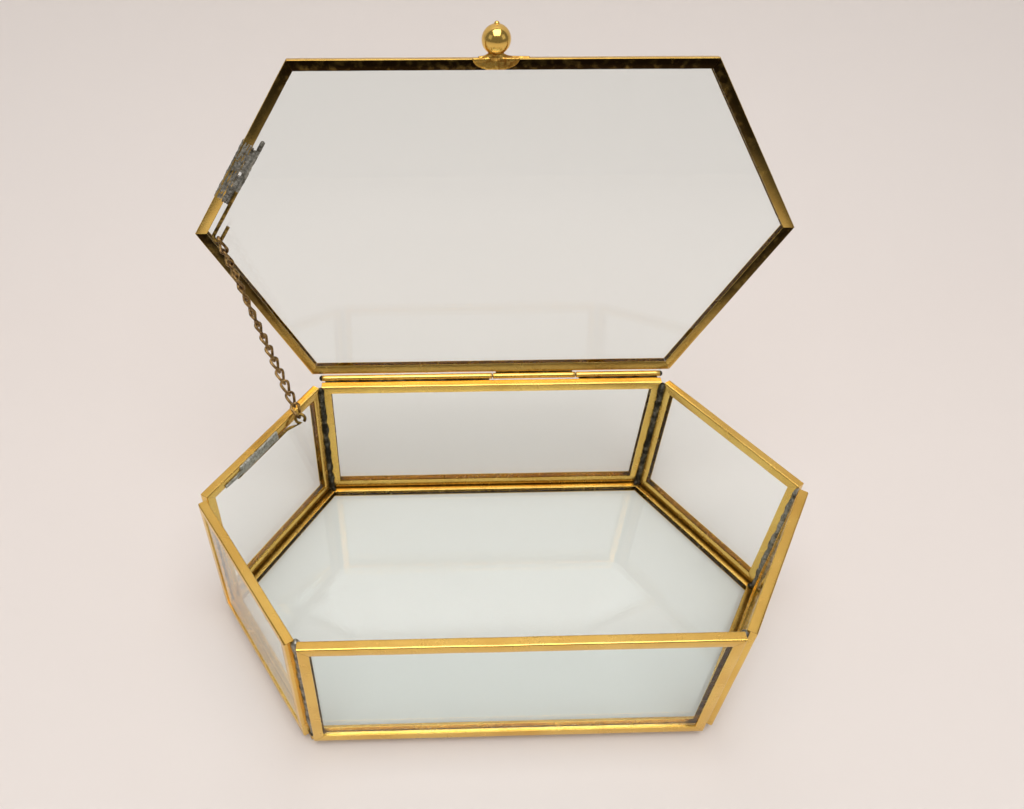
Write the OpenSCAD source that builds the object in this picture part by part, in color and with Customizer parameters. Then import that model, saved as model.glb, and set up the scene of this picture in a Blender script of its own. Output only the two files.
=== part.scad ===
// Hexagonal glass casket box, shown with its lid open.
// Eight glass panes, each bound all round in a folded brass channel called came,
// are soldered into a box and a lid. The lid hangs on a tube hinge at the back
// rim, and a curb chain from a hook on the lid to an eye on the rim stops it.
// Millimetres, +X right, +Y to the back, +Z up, z = 0 is the face it rests on.

/* [Box] */
// Length over the cames, from the left point to the right point
box_length = 180; // [150:1:240]
// Depth over the cames, front to back
box_depth = 98.5; // [80:0.5:130]
// Length of the front and of the back side
front_length = 117; // [95:1:150]
// Height of the wall panels
wall_height = 50.4; // [35:0.1:80]
// How far the base panel sits in under the walls
base_inset = 1.8; // [1:0.1:2.4]

/* [Panes] */
// Thickness of the glass
glass_thickness = 2; // [1.6:0.1:3]
// Thickness of the brass sheet that the came is folded from
sheet = 0.35; // [0.25:0.05:0.5]
// Width of the came on the face of the glass
came_face = 3.1; // [2.4:0.1:4.5]
// Play of the glass in its came, on each side
glass_play = 0.1; // [0.05:0.05:0.2]
// Retreat of a wall panel's end from the corner, half the soldered gap
corner_gap = 0.3; // [0.2:0.05:0.6]
// Radius of the solder bead in a corner
bead_radius = 1.4; // [1:0.1:2]

/* [Lid and hinge] */
// How far the lid stands open at rest, where the chain is tight
open_angle = 102.2; // [95:0.1:110]
// How far the lid stands out over the walls
lid_overhang = 0.2; // [0:0.05:1]
// How much further the lid stands out at its left and at its right end
lid_longer = 1.2; // [0:0.1:2]
// Gap left between the rim and the closed lid
lid_gap = 0.35; // [0.3:0.05:0.8]
// Radius of the hinge tube
tube_radius = 1; // [0.8:0.05:1.5]
// Radius of the hinge wire
wire_radius = 0.45; // [0.35:0.05:0.6]
// Running clearance of the wire in the tube, on the radius
wire_clearance = 0.05; // [0.03:0.01:0.09]
// Gap between the hinge tube and the wall that it is soldered along
tube_seat = 0.45; // [0.3:0.05:0.6]
// Gap between two hinge tubes, end to end
knuckle_gap = 0.3; // [0.2:0.05:0.6]
// Length of the hinge tube on the lid
lid_knuckle = 27.6; // [18:0.1:28]
// Where the lid's hinge tube starts, to the right of the middle
lid_knuckle_start = 0.4; // [0:0.1:10]

/* [Knob] */
// Radius of the knob's ball
ball_radius = 4.05; // [3:0.05:6]
// Gap between the ball and the lid's front edge, which the neck bridges
ball_gap = 0.6; // [0.4:0.1:3]
// How far the knob sits to the left of the middle
knob_left = 2.3; // [0:0.1:6]
// Radius of the knob's neck
neck_radius = 1.3; // [1:0.05:1.4]
// Radius of the small nub on the ball's outer end
nub_radius = 0.8; // [0.5:0.05:1.2]

/* [Chain stay] */
// Number of links in the chain
link_count = 15; // [13:1:17]
// Radius of the chain wire
link_wire = 0.45; // [0.35:0.01:0.5]
// Outer width of a link
link_width = 3.4; // [3.2:0.05:3.8]
// Twist of a link from its middle to each end
link_twist = 45; // [38:1:50]
// Roll of the whole chain about its own line, from the eye to the hook
chain_roll = 80; // [60:1:100]
// Play between two wires that bear on each other
link_play = 0.08; // [0.05:0.01:0.2]
// Radius of the wire of the lid hook
hook_wire = 0.55; // [0.45:0.05:0.65]
// Radius of the hook's bend, to the middle of the wire
hook_bend = 1.25; // [1.15:0.05:1.6]
// Clearance of the closed hook from the walls
hook_clearance = 0.35; // [0.25:0.05:0.6]
// Distance of the hook's bend forward of the left point
hook_forward = 1.2; // [1:0.1:3]
// Length of the hook's leg that stands free of the lid
hook_leg = 12; // [9:0.5:16]
// Length of the part of the hook wire that is soldered down
hook_root = 19; // [12:0.5:24]
// How far the solder in the left corner stops short of the rest, as room for the hook
hook_room = 5; // [4:0.5:10]
// Length of the hook's open tip
hook_tip = 4.2; // [3:0.1:6]
// How far the free leg is bent away from the lid
hook_lean = 11; // [8:1:14]
// Radius of the wire of the eye on the rim
eye_wire = 0.5; // [0.45:0.05:0.6]
// Radius of the eye's ring, to the middle of the wire
eye_bend = 1.45; // [1.4:0.05:1.8]
// Distance of the eye's centre in from the wall
eye_in = 2.4; // [2.2:0.1:3]
// Depth of the eye's centre below the rim
eye_drop = 1.2; // [1:0.1:2]
// Distance of the eye's centre from the left point, along the wall
eye_along = 41; // [36:0.5:44]
// Tilt of the eye's ring from level, to face the front
eye_tilt = 46; // [35:1:60]
// Length of the straight wire that the eye is made from
eye_stem = 24; // [14:0.5:26]

/* [Hidden] */
function link_name(k) = str("chain_link_", k < 9 ? "0" : "", k + 1);

brass = "#cfa548";
dark_brass = "#6d5426";
solder_grey = "#8d8a80";
clear = [0.84, 0.89, 0.86, 0.45];
round_facets = 48;
blob_facets = 12;
cut = 0.5;

// The came's depth follows from the glass that it holds
lip = sheet + glass_play;
came_depth = glass_thickness + 2 * lip;
rim = came_depth + wall_height;

// The outline is a hexagon with long front and back sides and a point at each end
half_front = front_length / 2;
half_depth = box_depth / 2;
half_length = box_length / 2;
slant = norm([half_length - half_front, half_depth]);
slant_nx = half_depth / slant;
slant_ny = (half_length - half_front) / slant;
slant_reach = slant_nx * half_length;
function outline(off) =
    let (r = slant_reach + off, d = half_depth + off, a = (r - slant_ny * d) / slant_nx)
    [[-a, -d], [a, -d], [r / slant_nx, 0], [a, d], [-a, d], [-r / slant_nx, 0]];
inner = outline(-came_depth);
function side_length(i) = norm(inner[(i + 1) % 6] - inner[i]);

// Hinge axis, behind the back wall and level with the gap under the lid
axis_y = half_depth + tube_radius + tube_seat;
axis_z = rim + lid_gap / 2;
hinge_end = inner[1].x - 0.4;
lid_under = rim + lid_gap;
lid_front = -half_depth - lid_overhang;

// Closed to open: a point of the lid, and a direction on it
function open_dir(v) =
    [v.x, v.y * cos(open_angle) + v.z * sin(open_angle),
     -v.y * sin(open_angle) + v.z * cos(open_angle)];
function open_point(p) = [0, axis_y, axis_z] + open_dir(p - [0, axis_y, axis_z]);

function unit(v) = v / norm(v);
function across(v, n) = unit(v - (v * n) * n);

// The left walls: along them from the left point, and in from the back one
left_point = [inner[5].x, 0, 0];
along_front = [slant_ny, -slant_nx, 0];
along_back = [slant_ny, slant_nx, 0];
into_back = [slant_nx, -slant_ny, 0];
into_front = [slant_nx, slant_ny, 0];

// The hook, on the closed lid: its wire lies inside the came and under the glass,
// and its leg leans down from there to a bend near the left point
hook_low = lid_under + lip - hook_wire;
hook_in = hook_clearance + hook_wire;
leg_dir = -cos(hook_lean) * along_front - [0, 0, sin(hook_lean)];
hook_heel = let (line = left_point + hook_in * into_front / (slant_nx * slant_nx + slant_ny * slant_ny),
                 run = hook_forward / slant_nx + hook_leg * cos(hook_lean))
    [line.x, line.y, hook_low] + run * along_front;
bend_centre = hook_heel + hook_leg * leg_dir + hook_bend * into_front;

// The eye, its ring turned to face up and forward, and in line with the chain
eye_centre = left_point + eye_along * along_back + eye_in * into_back + [0, 0, rim - eye_drop];
hook_open = open_point(bend_centre);
rough_line = unit(hook_open - eye_centre);
eye_normal = across([0, -sin(eye_tilt), cos(eye_tilt)], rough_line);
stem_end = left_point + (eye_along - 4) * along_back + (eye_wire - lip) * into_back
    + [0, 0, rim - came_face - eye_wire];

// The chain runs straight between the two bends that it bears on
hook_normal = open_dir(cross(leg_dir, into_front));
hook_hold = hook_bend - hook_wire - link_wire - link_play / 2;
eye_hold = eye_bend - eye_wire - link_wire - link_play / 2;
chain_top = hook_open - hook_hold * across(rough_line, hook_normal);
chain_foot = eye_centre + eye_hold * across(rough_line, eye_normal);
chain_line = unit(chain_top - chain_foot);
pitch = (norm(chain_top - chain_foot) - link_play - 2 * link_wire) / link_count;

// A link is an oval of wire, twisted so that the chain lies flat
bow = link_width / 2 - link_wire;
half_link = (pitch + link_play) / 2 + link_wire;
half_straight = half_link - bow;
oval = concat(
    [for (a = [-90 : 30 : 90]) [half_straight + bow * cos(a), bow * sin(a)]],
    [for (f = [1, -1]) [half_straight * f / 3, bow]],
    [for (a = [90 : 30 : 270]) [-half_straight + bow * cos(a), bow * sin(a)]],
    [for (f = [-1, 1]) [half_straight * f / 3, -bow]]);
rings = len(oval);
function turned(x) = -link_twist * x / half_link;
oval_path = [for (p = oval) [p.x, p.y * cos(turned(p.x)), p.y * sin(turned(p.x))]];
oval_flats = [for (p = oval) [0, -sin(turned(p.x)), cos(turned(p.x))]];

// Flat of the first link, square to the chain and turned to the wall
chain_flat = unit(cross(chain_line, along_back));
chain_side = cross(chain_flat, chain_line);

// Bent wire: a ring of points about each point of the path, and the faces that
// join one ring to the next. flats holds a direction square to each bend.
function wire_points(path, flats, r, sides, closed) =
    let (n = len(path))
    [for (i = [0 : n - 1])
        let (next = closed ? (i + 1) % n : min(i + 1, n - 1),
             last = closed ? (i + n - 1) % n : max(i - 1, 0),
             run = unit(unit(path[next] - path[i] + 0.0001 * (path[i] - path[last]))
                 + unit(path[i] - path[last] + 0.0001 * (path[next] - path[i]))),
             side = unit(cross(run, flats[i])),
             up = cross(side, run))
        for (s = [0 : sides - 1])
            path[i] + r * (cos(s * 360 / sides) * side + sin(s * 360 / sides) * up)];
function wire_faces(n, sides, closed) = concat(
    [for (i = [0 : n - (closed ? 1 : 2)], s = [0 : sides - 1])
        let (j = (i + 1) % n, t = (s + 1) % sides)
        each [[i * sides + s, j * sides + s, j * sides + t],
              [i * sides + s, j * sides + t, i * sides + t]]],
    closed ? [] : [[for (s = [0 : sides - 1]) s],
                   [for (s = [sides - 1 : -1 : 0]) (n - 1) * sides + s]]);

module bent_wire(path, flats, r, sides, closed = false) {
    polyhedron(points = wire_points(path, flats, r, sides, closed),
        faces = wire_faces(len(path), sides, closed), convexity = 6);
}

module in_frame(origin, x, y, z) {
    multmatrix([[x.x, y.x, z.x, origin.x], [x.y, y.y, z.y, origin.y], [x.z, y.z, z.z, origin.z]])
        children();
}

// A straight piece of round wire
module wire(from, to, r) {
    z = unit(to - from);
    x = unit(cross(abs(z.z) < 0.9 ? [0, 0, 1] : [1, 0, 0], z));
    in_frame(from, x, cross(z, x), z) cylinder(h = norm(to - from), r = r, $fn = round_facets);
}

module joint(at, r) translate(at) sphere(r = r, $fn = round_facets);

// A lump of solder drawn out between two points
module lump(from, r1, to, r2) {
    hull() {
        translate(from) sphere(r = r1, $fn = blob_facets);
        translate(to) sphere(r = r2, $fn = blob_facets);
    }
}

module on_side(i) {
    p = inner[i];
    q = inner[(i + 1) % 6];
    translate([p.x, p.y, came_depth]) rotate([0, 0, atan2(q.y - p.y, q.x - p.x)]) children();
}

// The block that a wall panel fills, and its came and glass
module wall_block(i) {
    on_side(i) translate([corner_gap, -came_depth, 0])
        cube([side_length(i) - 2 * corner_gap, came_depth, wall_height]);
}

module wall_frame(i) {
    run = side_length(i) - 2 * corner_gap;
    color(brass) on_side(i) translate([corner_gap, -came_depth, 0]) difference() {
        cube([run, came_depth, wall_height]);
        translate([came_face, -cut, came_face])
            cube([run - 2 * came_face, came_depth + 2 * cut, wall_height - 2 * came_face]);
        translate([sheet, sheet, sheet])
            cube([run - 2 * sheet, came_depth - 2 * sheet, wall_height - 2 * sheet]);
    }
}

module wall_glass(i) {
    run = side_length(i) - 2 * corner_gap;
    color(clear) on_side(i) translate([corner_gap + lip, -came_depth + lip, lip])
        cube([run - 2 * lip, glass_thickness, wall_height - 2 * lip]);
}

// A six-sided came and its pane, for the base and the lid, longer at each end by ends
function drawn_out(off, ends) = [for (p = outline(off)) [p.x + ends * sign(p.x), p.y]];
module hexagon_frame(off, ends) {
    color(brass) difference() {
        linear_extrude(came_depth) polygon(drawn_out(off, ends));
        translate([0, 0, -cut]) linear_extrude(came_depth + 2 * cut)
            polygon(drawn_out(off - came_face, ends));
        translate([0, 0, sheet]) linear_extrude(came_depth - 2 * sheet)
            polygon(drawn_out(off - sheet, ends));
    }
}

module hexagon_glass(off, ends) {
    color(clear) translate([0, 0, lip]) linear_extrude(glass_thickness)
        polygon(drawn_out(off - lip, ends));
}

module base_frame() hexagon_frame(-base_inset, 0);
module base_glass() hexagon_glass(-base_inset, 0);

// Solder in the corner i, in the gap between two walls and in the angle inside
module corner_solder(i, lumps, short = 0) {
    foot = came_depth + bead_radius;
    color(solder_grey) difference() {
        translate([inner[i].x, inner[i].y, 0]) {
            translate([0, 0, foot]) cylinder(h = wall_height - bead_radius - 1 - short, r = bead_radius,
                $fn = round_facets);
            for (p = lumps) translate([0, 0, came_depth + p.x * wall_height])
                sphere(r = p.y * bead_radius, $fn = round_facets);
        }
        wall_block(i);
        wall_block((i + 5) % 6);
    }
}

// A tack of solder on the base came in each corner
module base_solder() {
    color(solder_grey) difference() {
        for (p = inner) translate([p.x, p.y, came_depth])
            cylinder(h = bead_radius, r1 = 1.25 * bead_radius, r2 = bead_radius, $fn = round_facets);
        for (i = [0 : 5]) wall_block(i);
    }
}

module hinge_tube(from, to) {
    color(brass) translate([from, axis_y, axis_z]) rotate([0, 90, 0]) difference() {
        cylinder(h = to - from, r = tube_radius, $fn = round_facets);
        translate([0, 0, -cut])
            cylinder(h = to - from + 2 * cut, r = wire_radius + wire_clearance, $fn = round_facets);
    }
}

lid_tube_end = lid_knuckle_start + lid_knuckle;
module hinge_tube_left() hinge_tube(-hinge_end, lid_knuckle_start - knuckle_gap);
module hinge_tube_right() hinge_tube(lid_tube_end + knuckle_gap, hinge_end);
module hinge_tube_lid() open() hinge_tube(lid_knuckle_start, lid_tube_end);

module hinge_wire() {
    color(dark_brass) wire([-hinge_end - 0.2, axis_y, axis_z], [hinge_end + 0.2, axis_y, axis_z],
        wire_radius);
}

// The fillet that joins a hinge tube to a flat edge at the distance seat + radius
module hinge_fillet(from, to, seat, rise) {
    reach = tube_radius + seat;
    translate([from, axis_y, axis_z]) rotate([90, 0, 90]) linear_extrude(to - from) difference() {
        polygon([[-reach, rise], [-reach, 1.9 * tube_radius], [-0.1, tube_radius],
                 [0, 0.9 * tube_radius], [-0.5 * tube_radius, rise]]);
        circle(r = tube_radius, $fn = round_facets);
    }
}

module hinge_box_solder() {
    left = [-hinge_end + 1, lid_knuckle_start - knuckle_gap - 1];
    right = [lid_tube_end + knuckle_gap + 1, hinge_end - 1];
    color(solder_grey) {
        for (r = [left, right]) translate([0, 0, 2 * axis_z]) mirror([0, 0, 1])
            hinge_fillet(r.x, r.y, tube_seat, 0.35 * tube_radius);
        for (s = [-1, 1]) difference() {
            translate([s * (hinge_end + 0.02), axis_y, axis_z])
                sphere(r = 0.95 * tube_radius, $fn = round_facets);
            translate([s * (hinge_end - 3), axis_y, axis_z])
                cube([6, 4, 4], center = true);
            wire([-hinge_end - 0.2, axis_y, axis_z], [hinge_end + 0.2, axis_y, axis_z], wire_radius);
        }
    }
}

module hinge_lid_solder() {
    color(solder_grey) open() hinge_fillet(lid_knuckle_start + 1, lid_tube_end - 1,
        tube_seat - lid_overhang, 0.35 * tube_radius);
}

module open() {
    translate([0, axis_y, axis_z]) rotate([-open_angle, 0, 0]) translate([0, -axis_y, -axis_z])
        children();
}

module lid_frame() open() translate([0, 0, lid_under]) hexagon_frame(lid_overhang, lid_longer);
module lid_glass() open() translate([0, 0, lid_under]) hexagon_glass(lid_overhang, lid_longer);

// Ball, neck and nub, turned from one piece
knob_foot = [-knob_left, lid_front, lid_under + came_depth / 2];
ball_centre = knob_foot - [0, ball_gap + ball_radius, 0];
module lid_knob() {
    color(brass) open() {
        wire(knob_foot, ball_centre, neck_radius);
        joint(ball_centre, ball_radius);
        joint(ball_centre - [0, ball_radius - 0.2 * nub_radius, 0], nub_radius);
    }
}

// Solder around the knob's foot, run out along the came's edge and over its lip
module knob_solder() {
    film = 0.12;
    color(solder_grey) open() difference() {
        union() {
            hull() {
                translate(knob_foot + [-4.6, 0, 0]) sphere(r = 0.35, $fn = blob_facets);
                translate(knob_foot + [0, 0.4, 0]) sphere(r = 1.95, $fn = 2 * blob_facets);
                translate(knob_foot + [3.4, 0.3, -0.2]) sphere(r = 1.1, $fn = blob_facets);
                translate(knob_foot + [9.4, 0, 0]) sphere(r = 0.3, $fn = blob_facets);
            }
            hull() for (p = [[-3.2, 0.9], [0, 1.5], [3, 1.2], [5.6, 0.8]])
                translate([knob_foot.x + p.x, lid_front + p.y + 0.4, lid_under - film])
                    cylinder(h = film, r = p.y, $fn = 2 * blob_facets);
        }
        translate([-half_front, lid_front, lid_under]) cube([front_length, 10, came_depth]);
        translate([-half_front, lid_front - 10, lid_under - 10 - film]) cube([front_length, 20, 10]);
        translate([-half_front, lid_front, lid_under + came_depth]) cube([front_length, 10, 10]);
        wire(knob_foot, ball_centre, neck_radius);
        joint(ball_centre, ball_radius);
    }
}

// Hook of bent wire: a root under the lid, a free leg, the bend and an open tip
hook_plane = cross(leg_dir, into_front);
hook_path = concat(
    [hook_heel + hook_root * along_front, hook_heel + 1.2 * along_front, hook_heel + 1.2 * leg_dir],
    [for (a = [0 : 22.5 : 180])
        bend_centre - hook_bend * cos(a) * into_front + hook_bend * sin(a) * leg_dir],
    [bend_centre + hook_bend * into_front - hook_tip * leg_dir]);
module lid_hook() {
    color(dark_brass) open()
        bent_wire(hook_path, [for (p = hook_path) hook_plane], hook_wire, 16);
}

module lid_hook_solder() {
    at = hook_heel - [0, 0, hook_heel.z - lid_under - 0.1] - 0.2 * into_front;
    color(solder_grey) open() difference() {
        union() {
            lump(at + 1.5 * along_front, 0.55, at + 5 * along_front, 0.8);
            lump(at + 5 * along_front, 0.8, at + 9 * along_front, 0.62);
            lump(at + 9 * along_front, 0.62, at + 14 * along_front, 0.85);
            lump(at + 14 * along_front, 0.85, at + 21 * along_front, 0.5);
        }
        translate([0, 0, lid_under + lip]) linear_extrude(5) polygon(outline(0));
        translate([0, 0, lid_under - 5]) linear_extrude(5 + lip) difference() {
            polygon(outline(5));
            polygon(drawn_out(lid_overhang - came_face - hook_clearance / 3, lid_longer));
        }
    }
}

// Eye of bent wire on the rim: a straight stem, a neck and a ring
ring_dir = across(stem_end - eye_centre, eye_normal);
ring_side = cross(eye_normal, ring_dir);
eye_path = concat(
    [stem_end - eye_stem * along_back, stem_end - 0.8 * along_back,
     stem_end + 0.8 * unit(eye_centre + eye_bend * ring_side - stem_end)],
    [for (a = [60 : -22.5 : -255])
        eye_centre + eye_bend * (cos(a) * ring_dir + sin(a) * ring_side)]);
module rim_eye() {
    color(dark_brass)
        bent_wire(eye_path, [for (p = eye_path) eye_normal], eye_wire, 16);
}

module rim_eye_solder() {
    at = stem_end + 0.15 * into_back + [0, 0, 0.35];
    color(solder_grey) difference() {
        union() {
            lump(at - 30 * along_back, 0.5, at - 25 * along_back, 0.95);
            lump(at - 25 * along_back, 0.95, at - 19 * along_back, 0.75);
            lump(at - 19 * along_back, 0.75, at - 12 * along_back, 1.1);
            lump(at - 12 * along_back, 1.1, at - 7 * along_back, 0.6);
        }
        on_side(4) translate([-5, -10, -5]) cube([80, 10 - lip, wall_height + 10]);
        wall_frame(4);
    }
}

module chain_link(k) {
    roll = chain_roll * k / (link_count - 1);
    y = cos(roll) * chain_side + sin(roll) * chain_flat;
    z = cos(roll) * chain_flat - sin(roll) * chain_side;
    color(dark_brass) in_frame(chain_foot + (half_link + k * pitch) * chain_line, chain_line, y, z)
        bent_wire(oval_path, oval_flats, link_wire, 8, true);
}

base_glass();
base_frame();
base_solder();
wall_glass(0);  // front_glass
wall_frame(0);  // front_frame
wall_glass(1);  // right_front_glass
wall_frame(1);  // right_front_frame
wall_glass(2);  // right_back_glass
wall_frame(2);  // right_back_frame
wall_glass(3);  // back_glass
wall_frame(3);  // back_frame
wall_glass(4);  // left_back_glass
wall_frame(4);  // left_back_frame
wall_glass(5);  // left_front_glass
wall_frame(5);  // left_front_frame
corner_solder(0, [[0.12, 1.1], [0.5, 1.05], [0.9, 1.15]]);  // front_left_solder
corner_solder(1, [[0.3, 1.1], [0.85, 1.1]]);  // front_right_solder
corner_solder(2, [[0.62, 1.15], [0.8, 1.3], [0.93, 1.2]]);  // right_solder
corner_solder(3, [[0.25, 1.1], [0.55, 1.2], [0.88, 1.1]]);  // back_right_solder
corner_solder(4, [[0.1, 1.2], [0.35, 1.25], [0.7, 1.2]]);  // back_left_solder
corner_solder(5, [[0.2, 1.1], [0.6, 1.15]], hook_room);  // left_solder
hinge_tube_left();
hinge_tube_right();
hinge_wire();
hinge_box_solder();
hinge_tube_lid();
hinge_lid_solder();
lid_glass();
lid_frame();
lid_knob();
knob_solder();
lid_hook();
lid_hook_solder();
rim_eye();
rim_eye_solder();
for (k = [0 : link_count - 1]) chain_link(k);
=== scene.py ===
import math

import bmesh
import bpy
import numpy as np
from mathutils import Matrix, Vector, noise


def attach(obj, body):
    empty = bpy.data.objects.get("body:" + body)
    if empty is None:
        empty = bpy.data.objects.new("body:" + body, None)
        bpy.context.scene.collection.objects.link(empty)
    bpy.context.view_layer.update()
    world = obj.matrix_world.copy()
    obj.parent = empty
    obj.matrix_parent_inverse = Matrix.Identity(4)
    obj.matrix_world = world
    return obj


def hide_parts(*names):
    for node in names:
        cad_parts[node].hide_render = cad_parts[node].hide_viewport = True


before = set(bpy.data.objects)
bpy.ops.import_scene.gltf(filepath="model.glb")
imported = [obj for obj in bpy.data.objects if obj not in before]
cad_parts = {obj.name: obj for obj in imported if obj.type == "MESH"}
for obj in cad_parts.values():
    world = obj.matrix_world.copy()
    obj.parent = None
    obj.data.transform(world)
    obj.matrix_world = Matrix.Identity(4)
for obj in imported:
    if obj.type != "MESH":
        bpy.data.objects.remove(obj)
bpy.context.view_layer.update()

bl_info = {
    "name": "Hexagonal glass casket box",
    "version": (1, 0, 0),
    "blender": (4, 5, 0),
    "location": "View3D > Sidebar > Casket Box",
    "description": "Detailed cames, solder, hinge, knob, hook, eye and chain around the CAD panes",
    "category": "Object",
}

MM = 0.001
NOISE_SEED = 1

# ---------------------------------------------------------------- sizes, in millimetres
BOX_LENGTH, BOX_DEPTH, FRONT_LENGTH, WALL_HEIGHT = 180.0, 98.5, 117.0, 50.4
BASE_INSET, GLASS, SHEET, CAME_FACE, PLAY = 1.8, 2.0, 0.35, 3.1, 0.1
CORNER_GAP = 0.3
OPEN_ANGLE, LID_OVERHANG, LID_LONGER, LID_GAP = math.radians(102.2), 0.2, 1.2, 0.35
TUBE, HINGE_WIRE, WIRE_CLEARANCE, TUBE_SEAT, KNUCKLE_GAP = 1.0, 0.45, 0.05, 0.45, 0.3
LID_KNUCKLE, LID_KNUCKLE_START = 27.6, 0.4
BALL, BALL_GAP, KNOB_LEFT, NECK, NUB = 4.05, 0.6, 2.3, 1.3, 0.8
LINKS, LINK_WIRE, LINK_WIDTH, LINK_PLAY = 15, 0.45, 3.4, 0.08
LINK_TWIST, CHAIN_ROLL = math.radians(45), math.radians(80)
HOOK_WIRE, HOOK_BEND, HOOK_CLEARANCE, HOOK_FORWARD = 0.55, 1.25, 0.35, 1.2
HOOK_LEG, HOOK_ROOT, HOOK_ROOM, HOOK_TIP, HOOK_LEAN = 12.0, 19.0, 5.0, 4.2, math.radians(11)
EYE_WIRE, EYE_BEND, EYE_IN, EYE_DROP, EYE_ALONG = 0.5, 1.45, 2.4, 1.2, 41.0
EYE_TILT, EYE_STEM = math.radians(46), 24.0

LIP = SHEET + PLAY
CAME_DEPTH = GLASS + 2 * LIP
RIM = CAME_DEPTH + WALL_HEIGHT
HALF_LENGTH, HALF_DEPTH, HALF_FRONT = BOX_LENGTH / 2, BOX_DEPTH / 2, FRONT_LENGTH / 2
SLANT = math.hypot(HALF_LENGTH - HALF_FRONT, HALF_DEPTH)
NX, NY = HALF_DEPTH / SLANT, (HALF_LENGTH - HALF_FRONT) / SLANT
LID_UNDER = RIM + LID_GAP
LID_FRONT = -HALF_DEPTH - LID_OVERHANG
AXIS = np.array([0.0, HALF_DEPTH + TUBE + TUBE_SEAT, RIM + LID_GAP / 2])
SIDES = ("front", "right_front", "right_back", "back", "left_back", "left_front")
STATION = 2.2  # spacing of the rows of points along a came


def vec(*values):
    return np.array(values, float)


def unit(v):
    return v / np.linalg.norm(v)


def across(v, n):
    """The part of direction v that is square to n."""
    return unit(v - (v @ n) * n)


def outline(off):
    """The box's six-sided outline in plan, moved out by off."""
    reach, depth = NX * HALF_LENGTH + off, HALF_DEPTH + off
    a = (reach - NY * depth) / NX
    points = [(-a, -depth), (a, -depth), (reach / NX, 0), (a, depth), (-a, depth), (-reach / NX, 0)]
    return [np.array(p, float) for p in points]


def lid_outline(off):
    """The lid's outline, which is longer at each end than the box's."""
    return [p + np.array([math.copysign(LID_LONGER, p[0]), 0]) for p in outline(off)]


INNER = outline(-CAME_DEPTH)
HINGE_END = INNER[1][0] - 0.4


def open_dir(v):
    """A direction on the closed lid, as it is with the lid open."""
    c, s = math.cos(OPEN_ANGLE), math.sin(OPEN_ANGLE)
    return vec(v[0], v[1] * c + v[2] * s, -v[1] * s + v[2] * c)


def open_point(p):
    """A point on the closed lid, as it is with the lid open."""
    return AXIS + open_dir(np.asarray(p, float) - AXIS)


# The hook, the eye and the chain between them
LEFT_POINT = vec(INNER[5][0], 0, 0)
ALONG_FRONT, ALONG_BACK = vec(NY, -NX, 0), vec(NY, NX, 0)
INTO_BACK, INTO_FRONT = vec(NX, -NY, 0), vec(NX, NY, 0)
LEG_DIR = -math.cos(HOOK_LEAN) * ALONG_FRONT - vec(0, 0, math.sin(HOOK_LEAN))
HOOK_LINE = LEFT_POINT + (HOOK_CLEARANCE + HOOK_WIRE) * INTO_FRONT / (NX * NX + NY * NY)
HOOK_HEEL = vec(HOOK_LINE[0], HOOK_LINE[1], LID_UNDER + LIP - HOOK_WIRE) + (
    HOOK_FORWARD / NX + HOOK_LEG * math.cos(HOOK_LEAN)
) * ALONG_FRONT
BEND_CENTRE = HOOK_HEEL + HOOK_LEG * LEG_DIR + HOOK_BEND * INTO_FRONT
EYE_CENTRE = LEFT_POINT + EYE_ALONG * ALONG_BACK + EYE_IN * INTO_BACK + vec(0, 0, RIM - EYE_DROP)
HOOK_OPEN = open_point(BEND_CENTRE)
ROUGH_LINE = unit(HOOK_OPEN - EYE_CENTRE)
EYE_NORMAL = across(vec(0, -math.sin(EYE_TILT), math.cos(EYE_TILT)), ROUGH_LINE)
STEM_END = (
    LEFT_POINT
    + (EYE_ALONG - 4) * ALONG_BACK
    + (EYE_WIRE - LIP) * INTO_BACK
    + vec(0, 0, RIM - CAME_FACE - EYE_WIRE)
)
HOOK_NORMAL = open_dir(np.cross(LEG_DIR, INTO_FRONT))
HOOK_HOLD = HOOK_BEND - HOOK_WIRE - LINK_WIRE - LINK_PLAY / 2
EYE_HOLD = EYE_BEND - EYE_WIRE - LINK_WIRE - LINK_PLAY / 2
CHAIN_TOP = HOOK_OPEN - HOOK_HOLD * across(ROUGH_LINE, HOOK_NORMAL)
CHAIN_FOOT = EYE_CENTRE + EYE_HOLD * across(ROUGH_LINE, EYE_NORMAL)
CHAIN_LINE = unit(CHAIN_TOP - CHAIN_FOOT)
PITCH = (np.linalg.norm(CHAIN_TOP - CHAIN_FOOT) - LINK_PLAY - 2 * LINK_WIRE) / LINKS
CHAIN_FLAT = unit(np.cross(CHAIN_LINE, ALONG_BACK))
CHAIN_SIDE = np.cross(CHAIN_FLAT, CHAIN_LINE)
HALF_LINK = (PITCH + LINK_PLAY) / 2 + LINK_WIRE


# ---------------------------------------------------------------- helpers
def linear(code):
    """A colour written as #rrggbb in sRGB, as linear red, green, blue and alpha."""
    channels = [int(code[i : i + 2], 16) / 255 for i in (1, 3, 5)]
    return [c / 12.92 if c <= 0.04045 else ((c + 0.055) / 1.055) ** 2.4 for c in channels] + [1.0]


def add(tree, kind, settings=None, links=None):
    """Adds a node: a capital or a number names an input socket, anything else a property."""
    node = tree.nodes.new(kind)
    settings = settings or {}
    for key in [k for k in settings if isinstance(k, str) and not k[0].isupper()]:
        setattr(node, key, settings[key])
    for key in [k for k in settings if isinstance(k, int) or k[0].isupper()]:
        node.inputs[key].default_value = settings[key]
    for key, source in (links or {}).items():
        tree.links.new(source, node.inputs[key])
    return node


def material(name):
    """An empty node material with its shader output."""
    made = bpy.data.materials.new(name)
    made.use_nodes = True
    made.node_tree.nodes.clear()
    return made, made.node_tree, add(made.node_tree, "ShaderNodeOutputMaterial")


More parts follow.
